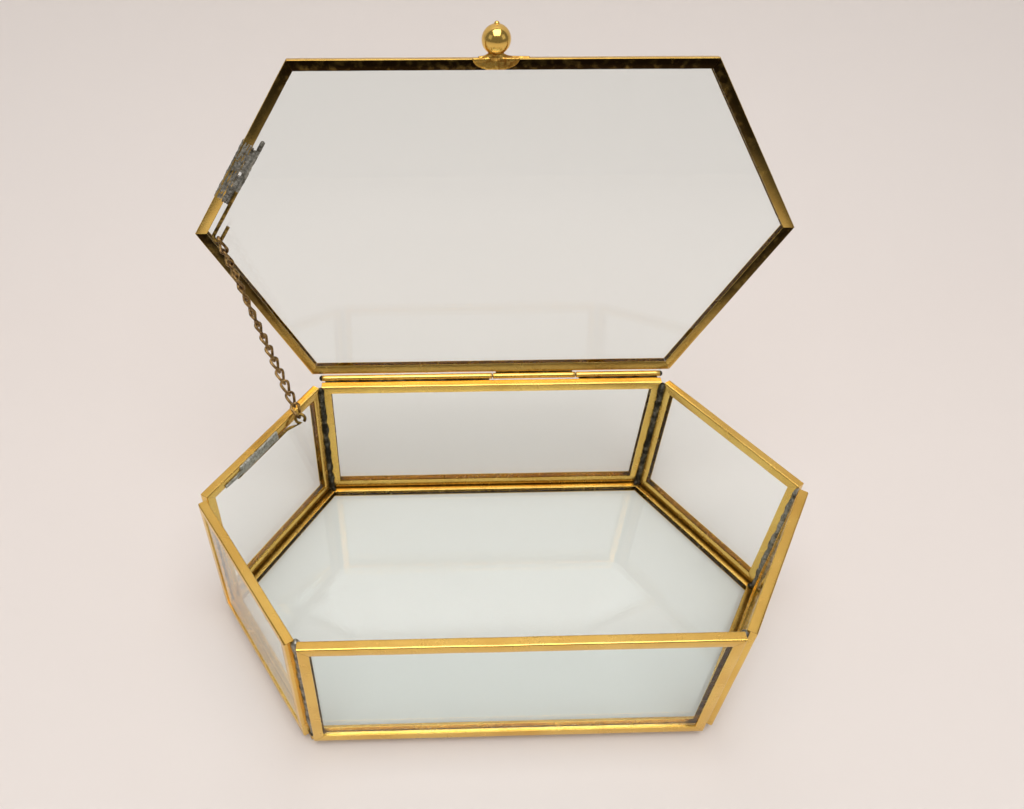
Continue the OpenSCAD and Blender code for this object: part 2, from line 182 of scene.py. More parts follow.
def pattern(tree, coords, scale, detail=3.0, rough=0.5, stretch=(1, 1, 1)):
    """Noise on coords whose features are about 1 / scale metres across."""
    mapped = add(tree, "ShaderNodeMapping", {"Scale": stretch}, {"Vector": coords})
    return add(
        tree,
        "ShaderNodeTexNoise",
        {"Scale": scale, "Detail": detail, "Roughness": rough},
        {"Vector": mapped.outputs[0]},
    ).outputs["Fac"]


def ramp(tree, source, low, high, out_low=0.0, out_high=1.0):
    """source between low and high, spread over out_low to out_high."""
    return add(
        tree,
        "ShaderNodeMapRange",
        {"From Min": low, "From Max": high, "To Min": out_low, "To Max": out_high},
        {"Value": source},
    ).outputs[0]


def times(tree, first, second):
    """The product of two sockets."""
    return add(tree, "ShaderNodeMath", {"operation": "MULTIPLY"}, {0: first, 1: second}).outputs[0]


def blend_colour(tree, factor, first, second):
    """first where factor is 0, second where it is 1; each a colour or a socket."""
    mix = add(tree, "ShaderNodeMix", {"data_type": "RGBA"}, {0: factor})
    for index, colour in ((6, first), (7, second)):
        if isinstance(colour, bpy.types.NodeSocket):
            tree.links.new(colour, mix.inputs[index])
        else:
            mix.inputs[index].default_value = colour
    return mix.outputs[2]


def settings():
    return bpy.context.scene.casket_box


def place(name, mesh, body, nodes, finishes=None):
    """Links a finished mesh, in metres and in place, and hands it to the frame."""
    mesh.name = name
    piece = bpy.data.objects.new(name, mesh)
    bpy.context.scene.collection.objects.link(piece)
    if finishes:
        mesh.materials.clear()
        for finish in finishes:
            mesh.materials.append(finish)
    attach(piece, body)
    if nodes:
        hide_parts(*nodes)
    return piece


def soften(mesh, degrees):
    """Smooth shading, with edges sharper than the angle left crisp."""
    mesh.shade_smooth()
    mesh.set_sharp_from_angle(angle=math.radians(degrees))


def mesh_from(name, points, faces):
    """A mesh from points in millimetres, its normals turned outwards."""
    mesh = bpy.data.meshes.new(name)
    mesh.from_pydata([tuple(np.asarray(p) * MM) for p in points], [], faces)
    shell = bmesh.new()
    shell.from_mesh(mesh)
    bmesh.ops.recalc_face_normals(shell, faces=shell.faces)
    shell.to_mesh(mesh)
    shell.free()
    mesh.update()
    return mesh


# The noise is seeded by the clock unless it is given a seed
noise.seed_set(NOISE_SEED)


def wander(p, size, seed):
    """A smooth random vector, each part about -1 to 1, that changes over size millimetres."""
    return np.array(noise.noise_vector(Vector(p) / size + Vector((seed * 7.3, seed * 3.1, seed * 5.7))))


# ---------------------------------------------------------------- finishes
def make_polished_brass(name, tarnish, gloss):
    """Cartridge brass sheet, roll-polished, bent by hand and wiped.

    A warm yellow metal: broad soft reflections from the slight dents,
    browner near the solder heat.
    """
    made, tree, out = material(name)
    colours = settings()
    coords = add(tree, "ShaderNodeTexCoord").outputs["Object"]
    run = add(tree, "ShaderNodeUVMap", {"uv_map": "run"}).outputs[0]
    broad = pattern(tree, coords, 70, 2)
    stain = pattern(tree, coords, 260, 5, 0.65)
    fine = pattern(tree, coords, 1500, 2)
    # Draw lines of the strip, a tenth of a millimetre apart, along its run
    lines = pattern(tree, run, 1, 3, 0.7, stretch=(60, 3500, 1))
    deeper = ramp(tree, broad, 0.35, 0.75, 0.0, 0.8)
    colour = blend_colour(tree, deeper, list(colours.brass), list(colours.brass_deep))
    colour = blend_colour(
        tree, ramp(tree, stain, 0.56, 0.78, 0.0, tarnish), colour, list(colours.brass_tarnish)
    )
    heat = add(tree, "ShaderNodeAttribute", {"attribute_name": "heat"}).outputs["Fac"]
    heat = times(tree, heat, ramp(tree, stain, 0.3, 0.62))
    colour = blend_colour(tree, heat, colour, list(colours.brass_heat))
    # Painted shade and painted reflection: this attribute darkens the lid's underside flange with a painted
    # dark reflection and the base came's flange beside the walls with painted shade, broken up by the streak
    # noise
    painted_shade_reflection = add(tree, "ShaderNodeAttribute", {"attribute_name": "painted_shade_reflection"}).outputs["Fac"]
    streak = pattern(tree, coords, 420, 3, 0.55)
    painted_shade_reflection = times(tree, painted_shade_reflection, ramp(tree, streak, 0.25, 0.5, 0.82, 1.0))
    colour = blend_colour(tree, painted_shade_reflection, colour, list(colours.brass_painted_dark))
    rough = ramp(tree, stain, 0.3, 0.8, gloss, gloss + 0.12)
    height = add(tree, "ShaderNodeMath", {"operation": "MULTIPLY_ADD", 1: 0.25}, {0: lines, 2: fine})
    bump = add(tree, "ShaderNodeBump", {"Strength": 0.16, "Distance": 0.00006}, {"Height": height.outputs[0]})
    shader = add(
        tree,
        "ShaderNodeBsdfPrincipled",
        {"Metallic": 1.0},
        {"Base Color": colour, "Roughness": rough, "Normal": bump.outputs[0]},
    )
    tree.links.new(shader.outputs[0], out.inputs[0])
    return made


def make_inside_brass_and_painted_shade():
    """The inside of the came: unpolished brass, tarnished to olive by flux and time, and painted darker still
    as painted shade of the channel's recess.
    """
    made, tree, out = material("came_inside_dull_brass_and_painted_shade")
    coords = add(tree, "ShaderNodeTexCoord").outputs["Object"]
    patch = pattern(tree, coords, 320, 4, 0.6)
    colour = blend_colour(
        tree, ramp(tree, patch, 0.35, 0.65), list(settings().inside), list(settings().inside_dark)
    )
    bump = add(tree, "ShaderNodeBump", {"Strength": 0.3, "Distance": 0.00005}, {"Height": patch})
    shader = add(
        tree,
        "ShaderNodeBsdfPrincipled",
        {"Metallic": 0.85, "Roughness": 0.5},
        {"Base Color": colour, "Normal": bump.outputs[0]},
    )
    tree.links.new(shader.outputs[0], out.inputs[0])
    return made


def make_aged_brass(name, light, dark, hue, gloss):
    """Brass or bronze wire left to darken: the drawn skin is brown, the rubbed parts golden."""
    made, tree, out = material(name)
    coords = add(tree, "ShaderNodeTexCoord").outputs["Object"]
    broad = pattern(tree, coords, 240, 2)
    rubbed = pattern(tree, coords, 900, 4, 0.6)
    grain = pattern(tree, coords, 5000, 2)
    colour = blend_colour(tree, ramp(tree, broad, 0.4, 0.6), linear(dark), linear(hue))
    colour = blend_colour(tree, ramp(tree, rubbed, 0.42, 0.68), colour, linear(light))
    bump = add(tree, "ShaderNodeBump", {"Strength": 0.35, "Distance": 0.00004}, {"Height": grain})
    shader = add(
        tree,
        "ShaderNodeBsdfPrincipled",
        {"Metallic": 1.0},
        {
            "Base Color": colour,
            "Roughness": ramp(tree, rubbed, 0.3, 0.8, gloss + 0.14, gloss),
            "Normal": bump.outputs[0],
        },
    )
    tree.links.new(shader.outputs[0], out.inputs[0])
    return made


def make_solder(name, bright, dull, oxide, amount):
    """Tin-lead solder, run on with an iron: soft grey metal with a frosted, wrinkled
    skin, brown-black flux and oxide in the hollows and shiny lumps between."""
    made, tree, out = material(name)
    coords = add(tree, "ShaderNodeTexCoord").outputs["Object"]
    cloud = pattern(tree, coords, 380, 4, 0.6)
    crust = pattern(tree, coords, 1300, 5, 0.7)
    colour = blend_colour(tree, ramp(tree, crust, 0.4, 0.62), linear(bright), linear(dull))
    stained = ramp(tree, cloud, 0.62 - 0.3 * amount, 0.8 - 0.25 * amount)
    colour = blend_colour(tree, stained, colour, linear(oxide))
    bump = add(tree, "ShaderNodeBump", {"Strength": 0.55, "Distance": 0.00012}, {"Height": crust})
    shader = add(
        tree,
        "ShaderNodeBsdfPrincipled",
        {"Metallic": 0.8},
        {
            "Base Color": colour,
            "Roughness": ramp(tree, cloud, 0.3, 0.7, 0.34, 0.62),
            "Normal": bump.outputs[0],
        },
    )
    tree.links.new(shader.outputs[0], out.inputs[0])
    return made


def make_glass(name, strength):
    """Two-millimetre float glass: clear, very slightly green, with a sharp faint
    reflection on each face. It is thin and flat, so it doesn't bend what is behind it."""
    made, tree, out = material(name)
    coords = add(tree, "ShaderNodeTexCoord").outputs["Object"]
    smear = pattern(tree, coords, 55, 3, 0.6)
    wave = pattern(tree, coords, 26, 1)
    bump = add(tree, "ShaderNodeBump", {"Strength": 0.04, "Distance": 0.0002}, {"Height": wave}).outputs[0]
    clear = add(tree, "ShaderNodeBsdfTransparent", {"Color": list(settings().glass_tint)})
    shine = add(
        tree,
        "ShaderNodeBsdfAnisotropic",
        {"Color": linear("#ffffff")},
        {"Roughness": ramp(tree, smear, 0.45, 0.8, 0.02, 0.16), "Normal": bump},
    )
    # Schlick's curve for glass, the same from both faces: 4% head on, more at a slant
    facing = add(tree, "ShaderNodeLayerWeight", {"Blend": 0.5}, {"Normal": bump}).outputs["Facing"]
    slant = add(tree, "ShaderNodeMath", {"operation": "POWER", 1: 5.0}, {0: facing}).outputs[0]
    curve = {"operation": "MULTIPLY_ADD", 1: 0.96 * strength, 2: 0.04 * strength}
    share = add(tree, "ShaderNodeMath", curve, {0: slant}).outputs[0]
    mix = add(tree, "ShaderNodeMixShader", None, {0: share, 1: clear.outputs[0], 2: shine.outputs[0]})
    tree.links.new(mix.outputs[0], out.inputs[0])
    return made


FINISHES = {}


def finish(name):
    """Each finish is made once, when a piece first asks for it."""
    makers = {
        "came": lambda: make_polished_brass("came_polished_brass", 0.08, 0.2),
        "knob": lambda: make_polished_brass("knob_turned_brass", 0.35, 0.1),
        "tube": lambda: make_polished_brass("hinge_tube_drawn_brass", 0.6, 0.24),
        "inside": make_inside_brass_and_painted_shade,
        "wire": lambda: make_aged_brass("bent_wire_aged_brass", "#b8964e", "#54431f", "#7a6232", 0.3),
        "chain": lambda: make_aged_brass("chain_bronzed_brass", "#c49f68", "#5a4229", "#80653a", 0.28),
        "foot": lambda: make_aged_brass("knob_foot_brazed_brass", "#e0b75e", "#9a6a2c", "#c9983f", 0.22),
        "solder": lambda: make_solder("solder_dull_tin_lead", "#a9a69d", "#6f6d64", "#3a352a", 0.5),
        "solder_bright": lambda: make_solder("solder_bright_tin_lead", "#bdbdb4", "#85857a", "#565344", 0.25),
        "solder_dark": lambda: make_solder("solder_oxidised_tin_lead", "#7b776c", "#4a4538", "#242015", 0.9),
        "glass": lambda: make_glass("pane_clear_float_glass", 0.9),
    }
    if name not in FINISHES:
        FINISHES[name] = makers[name]()
    return FINISHES[name]


# ---------------------------------------------------------------- Geometry Nodes
def new_tree(name, inputs):
    """A Geometry Nodes tree with its named inputs."""
    tree = bpy.data.node_groups.new(name, "GeometryNodeTree")
    tree.interface.new_socket("Geometry", in_out="OUTPUT", socket_type="NodeSocketGeometry")
    tree.interface.new_socket("Geometry", in_out="INPUT", socket_type="NodeSocketGeometry")
    for label, kind in inputs:
        tree.interface.new_socket(label, in_out="INPUT", socket_type=kind)
    source = add(tree, "NodeGroupInput")
    return tree, source.outputs, add(tree, "NodeGroupOutput")


def end_tree(tree, geometry, given, out):
    """Every tree ends in plain geometry that carries its finish."""
    real = add(tree, "GeometryNodeRealizeInstances", None, {0: geometry})
    painted = add(
        tree, "GeometryNodeSetMaterial", None, {"Geometry": real.outputs[0], "Material": given["Finish"]}
    )
    tree.links.new(painted.outputs[0], out.inputs[0])
    return tree


def wire_tree():
    """A round wire along the path, then moved and turned to its place."""
    tree, given, out = new_tree(
        "bent_wire",
        [
            ("Wire radius", "NodeSocketFloat"),
            ("Facets", "NodeSocketInt"),
            ("Place", "NodeSocketVector"),
            ("Turn", "NodeSocketVector"),
            ("Finish", "NodeSocketMaterial"),
        ],
    )
    path = add(tree, "GeometryNodeMeshToCurve", None, {0: given["Geometry"]})
    ring = add(
        tree,
        "GeometryNodeCurvePrimitiveCircle",
        None,
        {"Resolution": given["Facets"], "Radius": given["Wire radius"]},
    )
    swept = add(
        tree,
        "GeometryNodeCurveToMesh",
        {"Fill Caps": True},
        {"Curve": path.outputs[0], "Profile Curve": ring.outputs[0]},
    )
    smooth = add(tree, "GeometryNodeSetShadeSmooth", None, {0: swept.outputs[0]})
    moved = add(
        tree,
        "GeometryNodeTransform",
        None,
        {"Geometry": smooth.outputs[0], "Translation": given["Place"], "Rotation": given["Turn"]},
    )
    return end_tree(tree, moved.outputs[0], given, out)


def solder_tree():
    """Drops of solder, one on each point and as large as its size, run into one skin.
    The skin wrinkles outwards and inwards by the given amount."""
    tree, given, out = new_tree(
        "solder_run",
        [
            ("Voxel", "NodeSocketFloat"),
            ("Wrinkle", "NodeSocketFloat"),
            ("Wrinkles per metre", "NodeSocketFloat"),
            ("Seed", "NodeSocketFloat"),
            ("Finish", "NodeSocketMaterial"),
        ],
    )
    size = add(tree, "GeometryNodeInputNamedAttribute", {"data_type": "FLOAT", "Name": "size"})
    drops = add(
        tree,
        "GeometryNodeMeshToPoints",
        None,
        {"Mesh": given["Geometry"], "Radius": size.outputs["Attribute"]},
    )
    volume = add(
        tree,
        "GeometryNodePointsToVolume",
        {"resolution_mode": "VOXEL_SIZE", "Density": 1.0},
        {"Points": drops.outputs[0], "Voxel Size": given["Voxel"], "Radius": size.outputs["Attribute"]},
    )
    skin = add(
        tree,
        "GeometryNodeVolumeToMesh",
        {"Threshold": 0.35, "Adaptivity": 0.0},
        {"Volume": volume.outputs[0]},
    )
    where = add(tree, "GeometryNodeInputPosition")
    ripple = add(
        tree,
        "ShaderNodeTexNoise",
        {"noise_dimensions": "4D", "Detail": 3.0, "Roughness": 0.6},
        {"Vector": where.outputs[0], "W": given["Seed"], "Scale": given["Wrinkles per metre"]},
    )
    centred = add(tree, "ShaderNodeMath", {"operation": "SUBTRACT", 1: 0.5}, {0: ripple.outputs["Fac"]})
    amount = times(tree, centred.outputs[0], given["Wrinkle"])
    normal = add(tree, "GeometryNodeInputNormal")
    offset = add(
        tree, "ShaderNodeVectorMath", {"operation": "SCALE"}, {"Vector": normal.outputs[0], "Scale": amount}
    )
    rough = add(
        tree, "GeometryNodeSetPosition", None, {"Geometry": skin.outputs[0], "Offset": offset.outputs[0]}
    )
    smooth = add(tree, "GeometryNodeSetShadeSmooth", None, {0: rough.outputs[0]})
    return end_tree(tree, smooth.outputs[0], given, out)


TREES = {}


def grow(kind, mesh, values):
    """Runs a Geometry Nodes tree on a mesh and gives the result as a plain mesh."""
    if kind not in TREES:
        TREES[kind] = {"wire": wire_tree, "solder": solder_tree}[kind]()
    tree = TREES[kind]
    carrier = bpy.data.objects.new("carrier", mesh)
    bpy.context.scene.collection.objects.link(carrier)
    modifier = carrier.modifiers.new("grow", "NODES")
    modifier.node_group = tree
    for item in tree.interface.items_tree:
        if item.in_out == "INPUT" and item.name in values:
            modifier[item.identifier] = values[item.name]
    graph = bpy.context.evaluated_depsgraph_get()
    result = bpy.data.meshes.new_from_object(carrier.evaluated_get(graph), depsgraph=graph)
    bpy.data.objects.remove(carrier)
    return result


def path_mesh(points, closed=False):
    """Edges from point to point, in metres, for a wire to follow."""
    count = len(points)
    edges = [(i, (i + 1) % count) for i in range(count if closed else count - 1)]
    mesh = bpy.data.meshes.new("path")
    mesh.from_pydata([tuple(np.asarray(p) * MM) for p in points], edges, [])
    return mesh


def wire(points, radius, finish_name, facets=20, closed=False, at=(0, 0, 0), turn=(0, 0, 0)):
    """A round wire swept along points, in millimetres, then turned and moved to at."""
    return grow(
        "wire",
        path_mesh(points, closed),
        {
            "Wire radius": radius * MM,
            "Facets": facets,
            "Place": tuple(np.asarray(at) * MM),
            "Turn": turn,
            "Finish": finish(finish_name),
        },
    )


def solder(drops, finish_name, seed, voxel=0.22, wrinkle=0.5, spacing=1.3):
    """Solder run together from drops, a list of (point, radius) in millimetres."""
    mesh = bpy.data.meshes.new("drops")
    mesh.from_pydata([tuple(np.asarray(p) * MM) for p, r in drops], [], [])
    size = mesh.attributes.new("size", "FLOAT", "POINT")
    size.data.foreach_set("value", [r * MM for p, r in drops])
    return grow(
        "solder",
        mesh,
        {
            "Voxel": voxel * MM,
            "Wrinkle": wrinkle * MM,
            "Wrinkles per metre": 1 / (spacing * MM),
            "Seed": float(seed),
            "Finish": finish(finish_name),
        },
    )


# ---------------------------------------------------------------- cames
def came_profile():
    """The folded channel's section, as the outer and the inner half of a closed loop.

    Each point is an inset, from the pane's edge to its middle, and a depth from the
    came's first face.
    """
    chosen = settings()
    radius, steps, shy = chosen.fold_radius / MM, 5, 0.05
    thick, pinch = SHEET, 0.07
    low, high = shy, CAME_DEPTH - shy
    edge, half = CAME_FACE - 0.05, CAME_FACE * 0.5
    outer = [(edge, low + pinch + 0.04), (CAME_FACE - 0.16, low + pinch), (half, low)]
    turns = [math.radians(a) for a in np.linspace(0, 90, steps)]
    outer += [(shy + radius - radius * math.sin(a), low + radius - radius * math.cos(a)) for a in turns]
    outer += [(shy, CAME_DEPTH * 0.36), (shy + 0.03, CAME_DEPTH * 0.5), (shy, CAME_DEPTH * 0.64)]
    outer += [(shy + radius - radius * math.cos(a), high - radius + radius * math.sin(a)) for a in turns]
    outer += [(half, high), (CAME_FACE - 0.16, high - pinch), (edge, high - pinch - 0.04)]
    small = max(0.05, radius - thick)
    reach, top, bottom = shy + thick + small, high - thick - small, low + thick + small
    inner = [(edge, high - pinch - thick + 0.06), (half, high - thick)]
    inner += [(reach - small * math.sin(a), top + small * math.cos(a)) for a in turns[::2]]
    inner += [(reach - small * math.cos(a), bottom - small * math.sin(a)) for a in turns[::2]]
    inner += [(half, low + thick), (edge, low + pinch + thick - 0.06)]
    return outer, inner


def came(corners, to_row, seed, dents, painted_shade_reflection=None):
    """A channel folded round a pane, one mitred strip to each side.

    corners are the pane's corners in its own plane, in order, and to_row turns a point
    of that plane and a depth into the row frame. The last argument, if given, says how dark
    the brass is painted on a side, as painted shade and painted reflection, at a share of its length and a
    depth.
    """
    outer, inner = came_profile()
    loop = outer + inner
    count = len(corners)
    middle = sum(corners) / count
    points, faces, inside, heat, dark = [], [], [], [], []
    for k in range(count):
        here, there = corners[k], corners[(k + 1) % count]
        before, after = corners[k - 1], corners[(k + 2) % count]

        def mitre(corner, back, on):
            """The way in from a corner that keeps the inset of both sides at 1."""
            a, b = unit(corner - back), unit(on - corner)
            na, nb = vec(-a[1], a[0]), vec(-b[1], b[0])
            if na @ (middle - corner) < 0:
                na, nb = -na, -nb
            half = unit(na + nb)
            return half / (half @ na)

        start, end = mitre(here, before, there), mitre(there, here, after)
        length = np.linalg.norm(there - here)
        stations = max(6, int(length / STATION))
        seam = 0.045 / length
        spots = [seam + (1 - 2 * seam) * j / stations for j in range(stations + 1)]
        first = len(points)
        for s in spots:
            for u, w in loop:
                flat = (here + u * start) * (1 - s) + (there + u * end) * s
                p = to_row(flat, w)
                shift = wander(p, 9.0, seed) * dents * 0.7 + wander(p, 3.2, seed + 1) * dents * 0.3
                points.append(p + shift)
                near = min(s, 1 - s) * length
                heat.append(0.7 * max(0.0, 1 - near / 3.0))
                dark.append(painted_shade_reflection(k, s, u, w) if painted_shade_reflection else 0.0)
        size = len(loop)
        for j in range(stations):
            for i in range(size):
                n = (i + 1) % size
                a, b = first + j * size, first + (j + 1) * size
                faces.append((a + i, a + n, b + n, b + i))
                inside.append(i >= len(outer) - 1)
        faces.append(tuple(first + i for i in range(size)))
        faces.append(tuple(first + stations * size + i for i in range(size)))
        inside += [False, False]
    mesh = mesh_from("came", points, faces)
    for polygon, dull in zip(mesh.polygons, inside):
        polygon.material_index = 1 if dull else 0
    warmth = mesh.attributes.new("heat", "FLOAT", "POINT")
    warmth.data.foreach_set("value", heat)
    painted_dark_layer = mesh.attributes.new("painted_shade_reflection", "FLOAT", "POINT")
    painted_dark_layer.data.foreach_set("value", dark)
    uv = mesh.uv_layers.new(name="run")
    size = len(loop)
    for polygon in mesh.polygons:
        for corner in polygon.loop_indices:
            index = mesh.loops[corner].vertex_index
            j, i = divmod(index, size)
            uv.data[corner].uv = (j * STATION * MM, i * 0.4 * MM)
    soften(mesh, 32)
    return mesh


def wall_place(side):
    """From a wall's own plane (along, up) and depth from outside, to the row frame."""
    p, q = INNER[side], INNER[(side + 1) % 6]
    along = unit(q - p)
    inward = vec(-along[1], along[0])

    def to_row(flat, depth):
        plan = p + flat[0] * along + (depth - CAME_DEPTH) * inward
        return vec(plan[0], plan[1], CAME_DEPTH + flat[1])

    return to_row, np.linalg.norm(q - p)


# How dark the painted reflection on the lid's underside is along each side, from its first corner on
LID_PAINTED_REFLECTION = (
    ((0, 1.0), (1, 1.0)),
    ((0, 1.0), (0.45, 0.95), (0.8, 0.6), (1, 0.25)),
    ((0, 1.0), (0.45, 0.9), (0.75, 0.4), (1, 0.1)),
    ((0, 0.35), (1, 0.35)),
    ((0, 0.1), (0.25, 0.3), (0.5, 0.85), (1, 1.0)),
    ((0, 0.0), (0.3, 0.1), (0.6, 0.8), (1, 1.0)),
)


def lid_painted_reflection(side, share, inset, depth):
    """Painted reflection on the lid's underside flange: brown-black, golden near the hinge."""
    if depth > 0.3:
        return 0.0
    where, amount = zip(*LID_PAINTED_REFLECTION[side])
    return float(np.interp(share, where, amount)) * min(1.0, max(0.0, inset - 0.1) / 0.25)


def base_painted_shade(side, share, inset, depth):
    """Painted shade on the base came's upper flange inside the box, beside the walls; only its lip is left
    bright.
    """
    return (0.15 if inset > CAME_FACE - 0.7 else 0.8) if depth > CAME_DEPTH - 0.5 else 0.0


class CASKETBOX_OT_cames(bpy.types.Operator):
    """Folds the brass cames round the six walls, the base and the lid"""

    bl_idname = "casketbox.cames"
    bl_label = "Brass cames"

    def execute(self, context):
        dents = settings().dent_depth / MM
        both = [finish("came"), finish("inside")]
        for side, name in enumerate(SIDES):
            to_row, length = wall_place(side)
            low, high = CORNER_GAP, length - CORNER_GAP
            corners = [vec(low, 0), vec(high, 0), vec(high, WALL_HEIGHT), vec(low, WALL_HEIGHT)]
            mesh = came(corners, to_row, 11 + side, dents)
            place(name + "_came", mesh, "box", [name + "_frame"], both)
        mesh = came(
            outline(-BASE_INSET),
            lambda flat, depth: vec(flat[0], flat[1], depth),
            31,
            dents * 0.5,
            base_painted_shade,
        )
        place("base_came", mesh, "box", ["base_frame"], both)
        mesh = came(
            lid_outline(LID_OVERHANG),
            lambda flat, depth: open_point((flat[0], flat[1], LID_UNDER + depth)),
            41,
            dents,
            lid_painted_reflection,
        )
        place("lid_came", mesh, "lid", ["lid_frame"], both)
        return {"FINISHED"}


class CASKETBOX_OT_panes(bpy.types.Operator):
    """Gives the glass panes of the CAD part their finish"""

    bl_idname = "casketbox.panes"
    bl_label = "Glass panes"

    def execute(self, context):
        for name in [s + "_glass" for s in SIDES + ("base", "lid")]:
            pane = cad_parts[name]
            pane.data.materials.clear()
            pane.data.materials.append(finish("glass"))
        return {"FINISHED"}


# ---------------------------------------------------------------- solder
def bead(line_from, line_to, radius, seed, step=0.8, swing=0.35, wobble=0.25):
    """Drops along a seam, with sizes and places that vary."""
    drops = []
    length = np.linalg.norm(line_to - line_from)
    count = max(2, int(length / step))
    for j in range(count + 1):
        p = line_from + (line_to - line_from) * j / count
        n = wander((j * step, seed * 1.7, 0), 2.7, seed)
        drops.append((p + n * wobble, radius * (1 + swing * n[1])))
    return drops


# Rows of drops across the lid's came at the hook: inset, depth and radius
HOOK_SKIN = (
    (0.3, 2.2, 0.5),
    (0.25, 1.4, 0.55),
    (0.35, 0.6, 0.55),
    (1.0, 0.32, 0.5),
    (1.8, 0.32, 0.5),
    (2.6, 0.35, 0.55),
    (3.4, 0.42, 0.55),
    (4.2, 0.3, 0.55),
)


class CASKETBOX_OT_solder(bpy.types.Operator):
    """Runs solder into the corners of the walls and the base, and on the hook and the eye"""

    bl_idname = "casketbox.solder"
    bl_label = "Solder"

    def execute(self, context):
        names = ("front_left", "front_right", "right", "back_right", "back_left", "left")
        for i, name in enumerate(names):
            p = INNER[i]
            room = HOOK_ROOM if name == "left" else 0
            low, high = vec(p[0], p[1], CAME_DEPTH + 1.4), vec(p[0], p[1], RIM - 1.6 - room)
            dark = "solder_dark" if name.startswith("back") else "solder"
            drops = bead(low, high, 1.15, 3 + i)
            mesh = solder(drops, dark, i)
            place(name + "_solder_run", mesh, "box", [name + "_solder"])
        tacks = []
        for p in INNER:
            tacks.append((vec(p[0], p[1], CAME_DEPTH + 0.5), 1.3))
            tacks.append((vec(p[0] * 0.985, p[1] * 0.98, CAME_DEPTH + 0.2), 0.9))
        place("base_solder_tacks", solder(tacks, "solder_dark", 9), "box", ["base_solder"])
        # A skin over the whole came beside the hook, its web and its flange
        corner = lid_outline(LID_OVERHANG)[5]
        drops = []
        for j in range(40):
            t = 13.8 + 19.4 * j / 39
            for row, (inset, depth, size) in enumerate(HOOK_SKIN):
                n = wander((t, 3.3 + row * 1.9, 0), 2.4, 5)
                thin = min(1.0, (t - 13.0) / 2.0, (33.9 - t) / 3.0)
                if thin * (0.75 + n[2]) < 0.3:
                    continue
                p = corner + t * ALONG_FRONT[:2] + (inset + 0.25 * n[1]) * INTO_FRONT[:2]
                radius = size * (1 + 0.22 * n[0]) * thin**0.3
                drops.append((open_point((p[0], p[1], LID_UNDER + depth)), radius))
        # The hook's root lies bedded in solder
        for j in range(44):
            t = 3.2 + 16.2 * j / 43
            n = wander((t, 6.2, 1.0), 2.0, 7)
            drops.append((open_point(HOOK_HEEL + t * ALONG_FRONT + 0.05 * n), 0.72 + 0.06 * n[0]))
        mesh = solder(drops, "solder", 21, 0.16, 0.45, 1.0)
        place("lid_hook_solder_run", mesh, "lid", ["lid_hook_solder"])
        # A patch on the wall's upper flange, over the eye's stem and stepped at its left end
        drops = []
        for j in range(52):
            t = 8.0 + 23.5 * j / 51
            for row, drop in enumerate((0.75, 1.5, 2.25, 3.0)):
                n = wander((t, 8.1 + row * 1.7, 0), 2.6, 6)
                if (t < 14.5 and row < 2) or n[2] < -0.55:
                    continue
                p = LEFT_POINT + t * ALONG_BACK + (0.12 + 0.2 * n[1]) * INTO_BACK
                size = (0.62 if t > 14.5 else 0.45) * (1 + 0.25 * n[0])
                drops.append((p + vec(0, 0, RIM - drop), size))
        mesh = solder(drops, "solder_bright", 22, 0.16, 0.45, 1.0)
        place("rim_eye_solder_run", mesh, "box", ["rim_eye_solder"])
        return {"FINISHED"}


# ---------------------------------------------------------------- hinge
def tube_mesh(low, high):
    """A short tube, rolled from strip, with turned-in ends and its bore."""
    around, bore = 32, HINGE_WIRE + WIRE_CLEARANCE
    ends = [(0, bore), (0, TUBE - 0.12), (0.04, TUBE - 0.04), (0.12, TUBE)]
    length = high - low
    middle = [(x, TUBE) for x in np.linspace(1.5, length - 1.5, max(2, int(length / 3)))]
    rows = ends + middle + [(length - x, r) for x, r in ends[::-1]]
    points, faces = [], []
    for x, r in rows:
        for s in range(around):
            a = 2 * math.pi * s / around
            p = AXIS + vec(low + x, r * math.cos(a), r * math.sin(a))
            points.append(p)
    count = len(rows)
    for j in range(count):
        for s in range(around):
            t, n = (s + 1) % around, (j + 1) % count
            faces.append((j * around + s, j * around + t, n * around + t, n * around + s))
    return points, faces


class CASKETBOX_OT_hinge(bpy.types.Operator):
    """Rolls the three hinge tubes and threads the wire through them"""

    bl_idname = "casketbox.hinge"
    bl_label = "Hinge"

    def execute(self, context):
        end = LID_KNUCKLE_START + LID_KNUCKLE
        for name, body, low, high in (
            ("hinge_tube_left", "box", -HINGE_END, LID_KNUCKLE_START - KNUCKLE_GAP),
            ("hinge_tube_right", "box", end + KNUCKLE_GAP, HINGE_END),
            ("hinge_tube_lid", "lid", LID_KNUCKLE_START, end),
        ):
            points, faces = tube_mesh(low, high)
            mesh = mesh_from(name, points, faces)
            soften(mesh, 40)
            place(name + "_rolled", mesh, body, [name], [finish("tube")])
        ends = [AXIS + vec(s * (HINGE_END + 0.2), 0, 0) for s in (-1, 1)]
        mesh = wire([ends[0], (ends[0] + ends[1]) / 2, ends[1]], HINGE_WIRE, "wire", 24)
        place("hinge_wire_drawn", mesh, "box", ["hinge_wire"])
        for name in ("hinge_box_solder", "hinge_lid_solder"):
            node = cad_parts[name]
            node.data.materials.clear()
            node.data.materials.append(finish("solder_dark"))
        return {"FINISHED"}


